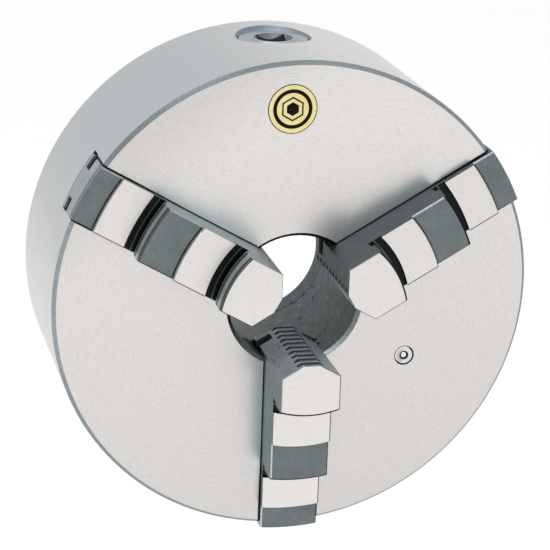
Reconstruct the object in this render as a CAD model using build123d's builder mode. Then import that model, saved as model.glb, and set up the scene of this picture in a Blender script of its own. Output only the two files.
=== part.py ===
from build123d import *
import os
from math import acos, ceil, cos, floor, pi, radians, sin, sqrt, tan

# Self-centring three-jaw scroll chuck, size 200, with a short cylindrical register (form A).
# Millimetres. The origin lies on the spindle axis, in the rear mounting plane. The chuck faces
# -Y, +X is to its right seen from the front and +Z is up. A "height" is a distance in front of
# the mounting plane, along -Y. Angles run counter-clockwise seen from the front, from +X.

# ---------------------------------------------------------------- driving dimensions
BODY_RADIUS = 100.0
BODY_HEIGHT = 76.0
FACE_CHAMFER_RADIAL = 1.6
FACE_CHAMFER_AXIAL = 1.8
REAR_CHAMFER = 1.0
BORE_RADIUS = 27.5
BORE_CHAMFER = 1.5
REGISTER_RADIUS = 80.0
REGISTER_DEPTH = 5.0
CAVITY_RADIUS = 79.0
HUB_RADIUS = 39.0
HUB_REAR = 18.0
FRONT_PLATE_REAR = 59.1
HOLE_OVERRUN = 0.5

JAW_ANGLES = (30.0, 150.0, 270.0)
PINION_ANGLES = (90.0, 210.0, 330.0)

MOUNTING_CIRCLE_RADIUS = 88.0
MOUNTING_THREAD_RADIUS = 5.0
MOUNTING_THREAD_DEPTH = 20.0

# Jaws: a guided foot with scroll teeth, and three ground steps rising towards the nose.
JAW_WIDTH = 24.3
JAW_FOOT_REAR = 59.0
JAW_GROOVE_REAR = 61.4
JAW_GROOVE_FRONT = 67.1
JAW_WEB_WIDTH = 13.2
JAW_STEP_TOPS = (80.0, 93.4, 105.0)
JAW_OUTER_RADII = (101.0, 73.3, 39.2)
JAW_LEDGE_RADII = (91.4, 57.7)
JAW_LEDGE_DROP = 1.8
JAW_NOSE = 17.33
JAW_NOSE_CORNER = 22.54
JAW_NOSE_WIDTH = 6.36
JAW_EDGE_CHAMFER = 0.3
JAW_LEDGE_CHAMFER = 0.55
JAW_LEDGE_ROUNDING = 0.7
UNDERCUT_FLOOR_WIDTH = 4.1
UNDERCUT_DEPTH = 1.5
UNDERCUT_RELIEF = 1.3
UNDERCUT_RELIEF_HEIGHT = 2.5
SERRATION_COUNT = 10
SERRATION_PITCH = 4.6
SERRATION_DEPTH = 1.3
SERRATION_TOP = 3.2
SERRATION_BOTTOM_WIDTH = 1.5
SERRATION_MOUTH_WIDTH = 2.9
GUIDE_SIDE_CLEARANCE = 0.05
GUIDE_AXIAL_CLEARANCE = 0.1
SLOT_FOOT_WIDTH = 26.4
SLOT_EDGE_CHAMFER = 0.3

# Scroll: a plane spiral ridge on the front of a disc, bevel teeth on its rear.
SCROLL_BORE_CLEARANCE = 0.15
SCROLL_RADIUS = 78.7
SCROLL_FRONT = 55.1
SCROLL_HUB_REAR = 36.0
SCROLL_HUB_RADIUS = 57.2
SCROLL_RIM_REAR = 42.2
SCROLL_EDGE_CHAMFER = 0.4
RIDGE_HEIGHT = 3.8
RIDGE_WIDTH = 4.2
SPIRAL_PITCH = 9.0
SPIRAL_FIRST_RADIUS = 43.0
SPIRAL_QUARTERS = 15

# Scroll teeth under a jaw: a convex outer flank no flatter than the innermost turn and a
# concave inner flank no sharper than the outermost turn, so one tooth fits every turn.
JAW_TOOTH_REAR = 55.4
JAW_TOOTH_WIDTH = 3.9
JAW_TOOTH_OUTER_FLANK = 42.0
JAW_TOOTH_INNER_FLANK = 80.0
JAW_TOOTH_LEAD = 1.4
JAW_TOOTH_INSET = 0.1
JAW_TOOTH_INNERMOST = 26.0
JAW_TOOTH_OUTERMOST = 96.5

# Bevel gearing between the pinions and the scroll; every tooth tapers to the pinion axis's
# crossing with the spindle axis.
PINION_HEIGHT = 27.0
PINION_TEETH = 12
SCROLL_TEETH = 75
GEAR_REFERENCE = 77.5
PINION_PITCH_RADIUS = GEAR_REFERENCE * PINION_TEETH / SCROLL_TEETH
ADDENDUM = 1.3
DEDENDUM = 1.75
PRESSURE_ANGLE = 20.0
BACKLASH = 0.4
GEAR_INNER = 58.0
GEAR_OUTER = 78.0

PINION_JOURNAL_RADIUS = 15.0
PINION_JOURNAL_START = 80.3
PINION_NECK_RADIUS = 9.5
PINION_FACE = 98.0
KEY_BOSS_RADIUS = 9.7
KEY_BOSS_END = 98.6
PINION_EDGE = 0.5
PINION_GROOVE_START = 90.0
PINION_GROOVE_END = 93.0
PINION_GROOVE_RADIUS = 11.5
PIVOT_RADIUS = 5.0
PIVOT_START = 32.0
KEY_SQUARE = 12.0
KEY_DEPTH = 18.0
KEY_COUNTERSINK_RADIUS = 8.2
BEARING_CLEARANCE = 0.05
POCKET_RIM_START = 97.9

RETAINER_CIRCLE_RADIUS = 91.5
RETAINER_RADIUS = 2.5
RETAINER_REAR = 1.5
RETAINER_FRONT = 11.0
DOG_RADIUS = 1.25
DOG_FRONT = 15.2
DOG_HOLE_RADIUS = 1.35
RETAINER_KEY = 1.44
RETAINER_KEY_DEPTH = 3.0

# Rear cover, its screws and dowels.
COVER_REAR = 5.2
COVER_FRONT = 12.5
COVER_BOSS_RADIUS = 45.0
COVER_BORE_CHAMFER_RADIAL = 1.0
COVER_BORE_CHAMFER_AXIAL = 3.0
THRUST_RING_INNER = 46.0
THRUST_RING_OUTER = 56.0
THRUST_RING_FRONT = 35.8
THRUST_GAP_WIDTH = 13.0
THRUST_GAP_START = 45.2
THRUST_GAP_END = 57.0
SCREW_CIRCLE_RADIUS = 33.8
SCREW_COUNT = 6
SCREW_HEAD_RADIUS = 4.25
SCREW_HEAD_REAR = 5.5
SCREW_HEAD_FRONT = 10.5
SCREW_SHANK_RADIUS = 2.5
SCREW_TIP = 29.5
SCREW_KEY = 2.31
SCREW_KEY_DEPTH = 2.8
COUNTERBORE_RADIUS = 4.4
DOWEL_ANGLES = (30.0, 150.0)
DOWEL_RADIUS = 2.0
DOWEL_REAR = 6.0
DOWEL_TIP = 26.0
JACKING_HOLE_RADIUS = 2.5
JACKING_CIRCLE_RADIUS = 67.0

# Small pieces in the front face.
BADGE_CENTRE = (-4.0, 80.7)
BADGE_RADIUS = 10.15
BADGE_REAR = 75.4
BADGE_FRONT = 76.1
BADGE_EDGE = 0.2
OILER_CENTRE = (48.1, -27.2)
OILER_RADIUS = 4.3
OILER_EDGE = 0.3
OILER_REAR = 69.5
OILER_FLOOR = 70.1
OILER_CAVITY_RADIUS = 2.4
OILER_LIP_REAR = 75.2
OILER_LIP_FRONT = 75.6
OILER_MOUTH_RADIUS = 1.5
OILER_FLARE_RADIUS = 2.4
OIL_PASSAGE_RADIUS = 1.0
BALL_RADIUS = 1.75
BALL_CLEARANCE = 0.05
SPRING_WIRE_RADIUS = 0.2
SPRING_RADIUS = 1.3
SPRING_TURNS = 3

# How far a cutting outline reaches past the body, and how near an edge lies when it's picked.
FULL_CUT = 110.0
HEIGHT_BAND = 0.01
FINDING_BAND = 0.5
UNDERCUT_OVERLAP = 0.1


# ---------------------------------------------------------------- places and helpers
def radial(angle):
    """Unit vector from the spindle axis towards an angle seen from the front."""
    return Vector(cos(radians(angle)), 0, sin(radians(angle)))


def level(height, angle=0.0):
    """Plane at a height, facing forward, with its x axis along a radial direction."""
    return Plane(origin=(0, -height, 0), x_dir=radial(angle), z_dir=(0, -1, 0))


def spot(centre, height):
    """Plane at a height, facing forward, centred on a point (x, z) of the front view."""
    return Plane(origin=(centre[0], -height, centre[1]), x_dir=(1, 0, 0), z_dir=(0, -1, 0))


def profile_plane(centre=(0.0, 0.0)):
    """Plane for turned profiles: x is a radius about the centre, y is a height."""
    return Plane(origin=(centre[0], 0, centre[1]), x_dir=(1, 0, 0), z_dir=(0, 0, -1))


def turning_axis(centre=(0.0, 0.0)):
    """Axis parallel to the spindle through a point (x, z) of the front view."""
    return Axis((centre[0], 0, centre[1]), (0, 1, 0))


def pinion_axis(angle):
    """Axis of a pinion, pointing outwards."""
    return Axis((0, -PINION_HEIGHT, 0), radial(angle))


def pinion_profile_plane(angle):
    """Plane for a pinion's turned profiles: x is the distance from the spindle axis."""
    return Plane(origin=(0, -PINION_HEIGHT, 0), x_dir=radial(angle), z_dir=radial(angle + 90))


def pinion_cross_plane(angle, distance):
    """Plane across a pinion's axis: x is the tangent direction, y is forward."""
    centre = radial(angle) * distance + Vector(0, -PINION_HEIGHT, 0)
    return Plane(origin=centre, x_dir=radial(angle + 90), z_dir=radial(angle))


def jaw_side_plane(angle):
    """Plane through a jaw's middle: x is the distance from the spindle axis, y the height."""
    return Plane(origin=(0, 0, 0), x_dir=radial(angle), z_dir=radial(angle - 90))


def jaw_outline(outer_radius):
    """Outline of a jaw seen from the front: pointed nose, parallel sides, round outer end."""
    half = JAW_WIDTH / 2
    Polygon(
        (JAW_NOSE, -JAW_NOSE_WIDTH / 2),
        (JAW_NOSE_CORNER, -half),
        (FULL_CUT, -half),
        (FULL_CUT, half),
        (JAW_NOSE_CORNER, half),
        (JAW_NOSE, JAW_NOSE_WIDTH / 2),
        align=None,
    )
    Circle(outer_radius, mode=Mode.INTERSECT)


def edges_at(builder, height):
    """Edges of an unfinished piece that lie at one height."""
    return builder.edges().filter_by_position(Axis.Y, -height - HEIGHT_BAND, -height + HEIGHT_BAND)


def involute(angle):
    """Involute function of a pressure angle in radians."""
    return tan(angle) - angle


def pinion_tooth_outline():
    """Outline of the whole pinion at the reference distance, a tooth space facing forward."""
    base_radius = PINION_PITCH_RADIUS * cos(radians(PRESSURE_ANGLE))
    root = PINION_PITCH_RADIUS - DEDENDUM
    tip = PINION_PITCH_RADIUS + ADDENDUM
    at_pitch = pi / (2 * PINION_TEETH) + involute(radians(PRESSURE_ANGLE))
    flank = [(root, at_pitch), (base_radius, at_pitch)]
    for radius in (PINION_PITCH_RADIUS, (PINION_PITCH_RADIUS + tip) / 2, tip):
        flank.append((radius, at_pitch - involute(acos(base_radius / radius))))
    points = []
    for tooth in range(PINION_TEETH):
        middle = pi / 2 + (tooth + 0.5) * 2 * pi / PINION_TEETH
        rising = [(radius, middle - half) for radius, half in flank]
        falling = [(radius, middle + half) for radius, half in reversed(flank)]
        points += [(radius * cos(turn), radius * sin(turn)) for radius, turn in rising + falling]
    return points


def scroll_tooth_outline():
    """Outline of one scroll tooth at the reference distance; y is forward of the pinion axis."""
    slope = tan(radians(PRESSURE_ANGLE))
    pitch_half = pi * GEAR_REFERENCE / SCROLL_TEETH / 2 - BACKLASH / 2
    tip = PINION_PITCH_RADIUS - ADDENDUM
    buried_root = PINION_PITCH_RADIUS + DEDENDUM + 2 * SCROLL_EDGE_CHAMFER
    tip_half = pitch_half - slope * ADDENDUM
    root_half = pitch_half + slope * (buried_root - PINION_PITCH_RADIUS)
    return [(-tip_half, tip), (tip_half, tip), (root_half, buried_root), (-root_half, buried_root)]


def tapered(points, distance):
    """Gear outline at another distance from the spindle axis, shrunk in proportion."""
    scale = distance / GEAR_REFERENCE
    return [(x * scale, y * scale) for x, y in points]


def spiral_arc(quarter, offset):
    """Centre, radius and start angle of one quarter turn of the spiral, shifted sideways."""
    throw = SPIRAL_PITCH / (4 * sqrt(2))
    turn = radians(90 * quarter + 135)
    centre = (throw * cos(turn), throw * sin(turn))
    return centre, SPIRAL_FIRST_RADIUS + quarter * SPIRAL_PITCH / 4 + offset, 90 * quarter


def groove_centres(angle):
    """Distances from the spindle axis at which the spiral groove crosses a radial direction."""
    first = SPIRAL_FIRST_RADIUS + SPIRAL_PITCH * ((angle - 45) / 360 + 0.5)
    lowest = ceil((JAW_TOOTH_INNERMOST - first) / SPIRAL_PITCH)
    highest = floor((JAW_TOOTH_OUTERMOST - first) / SPIRAL_PITCH)
    return [first + turn * SPIRAL_PITCH for turn in range(lowest, highest + 1)]


def finish_piece(builder, name):
    """Label a finished piece and write it to its own file."""
    builder.part.label = name
    export_step(builder.part, f"parts/{name}.step")


os.makedirs("parts", exist_ok=True)

# ---------------------------------------------------------------- body
# A turned shell: outer wall, front plate and central hub in one piece.
with BuildPart() as body:
    with BuildSketch(profile_plane()):
        Polygon(
            (REGISTER_RADIUS, 0),
            (BODY_RADIUS - REAR_CHAMFER, 0),
            (BODY_RADIUS, REAR_CHAMFER),
            (BODY_RADIUS, BODY_HEIGHT - FACE_CHAMFER_AXIAL),
            (BODY_RADIUS - FACE_CHAMFER_RADIAL, BODY_HEIGHT),
            (BORE_RADIUS + BORE_CHAMFER, BODY_HEIGHT),
            (BORE_RADIUS, BODY_HEIGHT - BORE_CHAMFER),
            (BORE_RADIUS, HUB_REAR),
            (HUB_RADIUS, HUB_REAR),
            (HUB_RADIUS, FRONT_PLATE_REAR),
            (CAVITY_RADIUS, FRONT_PLATE_REAR),
            (CAVITY_RADIUS, REGISTER_DEPTH),
            (REGISTER_RADIUS, REGISTER_DEPTH),
            align=None,
        )
    revolve(axis=Axis.Y)

    # Three T-slots guide the jaws: a wide foot, a narrow neck and a wide mouth.
    tongue_rear = JAW_GROOVE_REAR + GUIDE_AXIAL_CLEARANCE
    tongue_front = JAW_GROOVE_FRONT - GUIDE_AXIAL_CLEARANCE
    neck_width = JAW_WEB_WIDTH + 4 * GUIDE_SIDE_CLEARANCE
    mouth_width = JAW_WIDTH + 2 * GUIDE_SIDE_CLEARANCE
    for slot_angle in JAW_ANGLES:
        with BuildSketch(level(SCROLL_FRONT, slot_angle)):
            Rectangle(FULL_CUT, SLOT_FOOT_WIDTH, align=(Align.MIN, Align.CENTER))
        extrude(amount=tongue_rear - SCROLL_FRONT, mode=Mode.SUBTRACT)
        with BuildSketch(level(tongue_rear, slot_angle)):
            Rectangle(FULL_CUT, neck_width, align=(Align.MIN, Align.CENTER))
        extrude(amount=tongue_front - tongue_rear, mode=Mode.SUBTRACT)
        with BuildSketch(level(tongue_front, slot_angle)):
            Rectangle(FULL_CUT, mouth_width, align=(Align.MIN, Align.CENTER))
        extrude(amount=BODY_HEIGHT - tongue_front, mode=Mode.SUBTRACT)
    mouth_edges = edges_at(body, BODY_HEIGHT).filter_by(GeomType.LINE)
    chamfer(mouth_edges, length=SLOT_EDGE_CHAMFER)

    # Pockets for the pinions, with a bevelled rim, and blind bearings in the hub.
    pocket_radius = PINION_JOURNAL_RADIUS + BEARING_CLEARANCE
    pivot_hole_radius = PIVOT_RADIUS + BEARING_CLEARANCE
    for pinion_angle in PINION_ANGLES:
        with BuildSketch(pinion_profile_plane(pinion_angle)):
            Polygon(
                (GEAR_OUTER - HOLE_OVERRUN, 0),
                (GEAR_OUTER - HOLE_OVERRUN, pocket_radius),
                (POCKET_RIM_START, pocket_radius),
                (FULL_CUT, pocket_radius + FULL_CUT - POCKET_RIM_START),
                (FULL_CUT, 0),
                align=None,
            )
            Polygon(
                (PIVOT_START - HOLE_OVERRUN, 0),
                (PIVOT_START - HOLE_OVERRUN, pivot_hole_radius),
                (THRUST_RING_INNER, pivot_hole_radius),
                (THRUST_RING_INNER, 0),
                align=None,
            )
        revolve(axis=pinion_axis(pinion_angle), mode=Mode.SUBTRACT)

    # Threads for the machine's mounting screws, and holes for the pinion retaining screws.
    with BuildSketch(level(0)):
        with PolarLocations(MOUNTING_CIRCLE_RADIUS, len(JAW_ANGLES), start_angle=JAW_ANGLES[0]):
            Circle(MOUNTING_THREAD_RADIUS)
    extrude(amount=MOUNTING_THREAD_DEPTH, mode=Mode.SUBTRACT)
    with BuildSketch(level(0)):
        with PolarLocations(RETAINER_CIRCLE_RADIUS, len(PINION_ANGLES), start_angle=PINION_ANGLES[0]):
            Circle(RETAINER_RADIUS)
    extrude(amount=RETAINER_FRONT, mode=Mode.SUBTRACT)
    with BuildSketch(level(RETAINER_FRONT)):
        with PolarLocations(RETAINER_CIRCLE_RADIUS, len(PINION_ANGLES), start_angle=PINION_ANGLES[0]):
            Circle(DOG_HOLE_RADIUS)
    extrude(amount=DOG_FRONT - RETAINER_FRONT, mode=Mode.SUBTRACT)

    # Threads and dowel holes for the rear cover in the end of the hub.
    with BuildSketch(level(HUB_REAR)):
        with PolarLocations(SCREW_CIRCLE_RADIUS, SCREW_COUNT):
            Circle(SCREW_SHANK_RADIUS)
    extrude(amount=SCREW_TIP + HOLE_OVERRUN - HUB_REAR, mode=Mode.SUBTRACT)
    for dowel_angle in DOWEL_ANGLES:
        with BuildSketch(level(HUB_REAR, dowel_angle)):
            with Locations((SCREW_CIRCLE_RADIUS, 0)):
                Circle(DOWEL_RADIUS)
        extrude(amount=DOWEL_TIP + HOLE_OVERRUN - HUB_REAR, mode=Mode.SUBTRACT)

    # Seat of the ball oiler, with its passage to the scroll, and the badge's shallow recess.
    with BuildSketch(spot(OILER_CENTRE, OILER_REAR)):
        Circle(OILER_RADIUS)
    extrude(amount=BODY_HEIGHT - OILER_REAR, mode=Mode.SUBTRACT)
    with BuildSketch(spot(OILER_CENTRE, FRONT_PLATE_REAR)):
        Circle(OIL_PASSAGE_RADIUS)
    extrude(amount=OILER_REAR - FRONT_PLATE_REAR, mode=Mode.SUBTRACT)
    with BuildSketch(spot(BADGE_CENTRE, BADGE_REAR)):
        Circle(BADGE_RADIUS)
    extrude(amount=BODY_HEIGHT - BADGE_REAR, mode=Mode.SUBTRACT)
finish_piece(body, "body")

# ---------------------------------------------------------------- rear cover
# A flat ring that closes the cavity, with a boss against the hub and a thrust ring behind the
# scroll, open where the pinions pass.
with BuildPart() as rear_cover:
    with BuildSketch(profile_plane()):
        Polygon(
            (BORE_RADIUS + COVER_BORE_CHAMFER_RADIAL, COVER_REAR),
            (CAVITY_RADIUS, COVER_REAR),
            (CAVITY_RADIUS, COVER_FRONT),
            (THRUST_RING_OUTER, COVER_FRONT),
            (THRUST_RING_OUTER, THRUST_RING_FRONT),
            (THRUST_RING_INNER, THRUST_RING_FRONT),
            (THRUST_RING_INNER, COVER_FRONT),
            (COVER_BOSS_RADIUS, COVER_FRONT),
            (COVER_BOSS_RADIUS, HUB_REAR),
            (BORE_RADIUS, HUB_REAR),
            (BORE_RADIUS, COVER_REAR + COVER_BORE_CHAMFER_AXIAL),
            align=None,
        )
    revolve(axis=Axis.Y)
    for gap_angle in PINION_ANGLES:
        with BuildSketch(level(COVER_FRONT, gap_angle)):
            with Locations((THRUST_GAP_START, 0)):
                gap_length = THRUST_GAP_END - THRUST_GAP_START
                Rectangle(gap_length, THRUST_GAP_WIDTH, align=(Align.MIN, Align.CENTER))
        extrude(amount=THRUST_RING_FRONT - COVER_FRONT, mode=Mode.SUBTRACT)
    with BuildSketch(level(COVER_REAR)):
        with PolarLocations(SCREW_CIRCLE_RADIUS, SCREW_COUNT):
            Circle(COUNTERBORE_RADIUS)
    extrude(amount=SCREW_HEAD_FRONT - COVER_REAR, mode=Mode.SUBTRACT)
    with BuildSketch(level(SCREW_HEAD_FRONT)):
        with PolarLocations(SCREW_CIRCLE_RADIUS, SCREW_COUNT):
            Circle(SCREW_SHANK_RADIUS)
    extrude(amount=HUB_REAR - SCREW_HEAD_FRONT, mode=Mode.SUBTRACT)
    for dowel_angle in DOWEL_ANGLES:
        with BuildSketch(level(COVER_REAR, dowel_angle)):
            with Locations((SCREW_CIRCLE_RADIUS, 0)):
                Circle(DOWEL_RADIUS)
        extrude(amount=HUB_REAR - COVER_REAR, mode=Mode.SUBTRACT)
    with BuildSketch(level(COVER_REAR)):
        with PolarLocations(JACKING_CIRCLE_RADIUS, 2):
            Circle(JACKING_HOLE_RADIUS)
    extrude(amount=COVER_FRONT - COVER_REAR, mode=Mode.SUBTRACT)
finish_piece(rear_cover, "rear_cover")

with BuildPart() as cover_screws:
    with BuildSketch(level(SCREW_HEAD_REAR)):
        with PolarLocations(SCREW_CIRCLE_RADIUS, SCREW_COUNT):
            Circle(SCREW_HEAD_RADIUS)
    extrude(amount=SCREW_HEAD_FRONT - SCREW_HEAD_REAR)
    with BuildSketch(level(SCREW_HEAD_FRONT)):
        with PolarLocations(SCREW_CIRCLE_RADIUS, SCREW_COUNT):
            Circle(SCREW_SHANK_RADIUS)
    extrude(amount=SCREW_TIP - SCREW_HEAD_FRONT)
    with BuildSketch(level(SCREW_HEAD_REAR)):
        with PolarLocations(SCREW_CIRCLE_RADIUS, SCREW_COUNT):
            RegularPolygon(SCREW_KEY, 6)
    extrude(amount=SCREW_KEY_DEPTH, mode=Mode.SUBTRACT)
finish_piece(cover_screws, "cover_screws")

with BuildPart() as cover_dowels:
    for dowel_angle in DOWEL_ANGLES:
        with BuildSketch(level(DOWEL_REAR, dowel_angle)):
            with Locations((SCREW_CIRCLE_RADIUS, 0)):
                Circle(DOWEL_RADIUS)
        extrude(amount=DOWEL_TIP - DOWEL_REAR)
finish_piece(cover_dowels, "cover_dowels")

# Grub screws from the rear, whose dog points run in the pinions' grooves.
with BuildPart() as pinion_retaining_screws:
    with BuildSketch(level(RETAINER_REAR)):
        with PolarLocations(RETAINER_CIRCLE_RADIUS, len(PINION_ANGLES), start_angle=PINION_ANGLES[0]):
            Circle(RETAINER_RADIUS)
    extrude(amount=RETAINER_FRONT - RETAINER_REAR)
    with BuildSketch(level(RETAINER_FRONT)):
        with PolarLocations(RETAINER_CIRCLE_RADIUS, len(PINION_ANGLES), start_angle=PINION_ANGLES[0]):
            Circle(DOG_RADIUS)
    extrude(amount=DOG_FRONT - RETAINER_FRONT)
    with BuildSketch(level(RETAINER_REAR)):
        with PolarLocations(RETAINER_CIRCLE_RADIUS, len(PINION_ANGLES), start_angle=PINION_ANGLES[0]):
            RegularPolygon(RETAINER_KEY, 6)
    extrude(amount=RETAINER_KEY_DEPTH, mode=Mode.SUBTRACT)
finish_piece(pinion_retaining_screws, "pinion_retaining_screws")

# ---------------------------------------------------------------- scroll plate
root_slope = (PINION_PITCH_RADIUS + DEDENDUM) / GEAR_REFERENCE
scroll_bore = HUB_RADIUS + SCROLL_BORE_CLEARANCE
with BuildPart() as scroll_plate:
    with BuildSketch(profile_plane()):
        Polygon(
            (scroll_bore, SCROLL_HUB_REAR),
            (SCROLL_HUB_RADIUS, SCROLL_HUB_REAR),
            (SCROLL_HUB_RADIUS, PINION_HEIGHT + root_slope * SCROLL_HUB_RADIUS),
            (GEAR_OUTER, PINION_HEIGHT + root_slope * GEAR_OUTER),
            (SCROLL_RADIUS, SCROLL_RIM_REAR),
            (SCROLL_RADIUS, SCROLL_FRONT - SCROLL_EDGE_CHAMFER),
            (SCROLL_RADIUS - SCROLL_EDGE_CHAMFER, SCROLL_FRONT),
            (scroll_bore, SCROLL_FRONT),
            align=None,
        )
    revolve(axis=Axis.Y)
    # The spiral ridge is a chain of quarter arcs whose centres step round a small square.
    with BuildSketch(level(SCROLL_FRONT)):
        with BuildLine():
            flanks = []
            for side in (RIDGE_WIDTH / 2, -RIDGE_WIDTH / 2):
                for quarter in range(SPIRAL_QUARTERS):
                    centre, radius, start = spiral_arc(quarter, side)
                    flanks.append(CenterArc(centre, radius, start, 90))
            outer_flank = flanks[:SPIRAL_QUARTERS]
            inner_flank = flanks[SPIRAL_QUARTERS:]
            Line(outer_flank[0] @ 0, inner_flank[0] @ 0)
            Line(outer_flank[-1] @ 1, inner_flank[-1] @ 1)
        make_face()
    extrude(amount=RIDGE_HEIGHT)
    # One tapered gear tooth, then the full ring.
    with BuildSketch(pinion_cross_plane(PINION_ANGLES[0], GEAR_INNER)):
        Polygon(*tapered(scroll_tooth_outline(), GEAR_INNER), align=None)
    with BuildSketch(pinion_cross_plane(PINION_ANGLES[0], GEAR_OUTER)):
        Polygon(*tapered(scroll_tooth_outline(), GEAR_OUTER), align=None)
    gear_tooth = loft(ruled=True, mode=Mode.PRIVATE)
    tooth_pitch = 360 / SCROLL_TEETH
    add([gear_tooth.rotate(Axis.Y, tooth * tooth_pitch) for tooth in range(SCROLL_TEETH)])
finish_piece(scroll_plate, "scroll_plate")


# ---------------------------------------------------------------- pinions
def make_pinion(angle):
    """Bevel pinion with an inner pivot, an outer journal and a square key socket."""
    with BuildPart() as pinion:
        with BuildSketch(pinion_profile_plane(angle)):
            Polygon(
                (PIVOT_START, 0),
                (PIVOT_START, PIVOT_RADIUS - PINION_EDGE),
                (PIVOT_START + PINION_EDGE, PIVOT_RADIUS),
                (GEAR_INNER, PIVOT_RADIUS),
                (GEAR_OUTER, PINION_NECK_RADIUS),
                (PINION_JOURNAL_START, PINION_NECK_RADIUS),
                (PINION_JOURNAL_START, PINION_JOURNAL_RADIUS),
                (PINION_GROOVE_START, PINION_JOURNAL_RADIUS),
                (PINION_GROOVE_START, PINION_GROOVE_RADIUS),
                (PINION_GROOVE_END, PINION_GROOVE_RADIUS),
                (PINION_GROOVE_END, PINION_JOURNAL_RADIUS),
                (PINION_FACE - PINION_EDGE, PINION_JOURNAL_RADIUS),
                (PINION_FACE, PINION_JOURNAL_RADIUS - PINION_EDGE),
                (PINION_FACE, KEY_BOSS_RADIUS),
                (KEY_BOSS_END, KEY_BOSS_RADIUS - PINION_EDGE),
                (KEY_BOSS_END, 0),
                align=None,
            )
        revolve(axis=pinion_axis(angle))
        with BuildSketch(pinion_cross_plane(angle, GEAR_INNER)):
            Polygon(*tapered(pinion_tooth_outline(), GEAR_INNER), align=None)
        with BuildSketch(pinion_cross_plane(angle, GEAR_OUTER)):
            Polygon(*tapered(pinion_tooth_outline(), GEAR_OUTER), align=None)
        loft(ruled=True)
        with BuildSketch(pinion_cross_plane(angle, PINION_FACE - KEY_DEPTH)):
            Rectangle(KEY_SQUARE, KEY_SQUARE)
        extrude(amount=KEY_DEPTH + KEY_BOSS_END - PINION_FACE, mode=Mode.SUBTRACT)
        with BuildSketch(pinion_profile_plane(angle)):
            Polygon(
                (KEY_BOSS_END, 0),
                (KEY_BOSS_END, KEY_COUNTERSINK_RADIUS),
                (KEY_BOSS_END - KEY_COUNTERSINK_RADIUS + KEY_SQUARE / 2, KEY_SQUARE / 2),
                (KEY_BOSS_END - KEY_COUNTERSINK_RADIUS + KEY_SQUARE / 2, 0),
                align=None,
            )
        revolve(axis=pinion_axis(angle), mode=Mode.SUBTRACT)
    return pinion


for number, pinion_angle in enumerate(PINION_ANGLES, start=1):
    finish_piece(make_pinion(pinion_angle), f"pinion_{number}")


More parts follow.
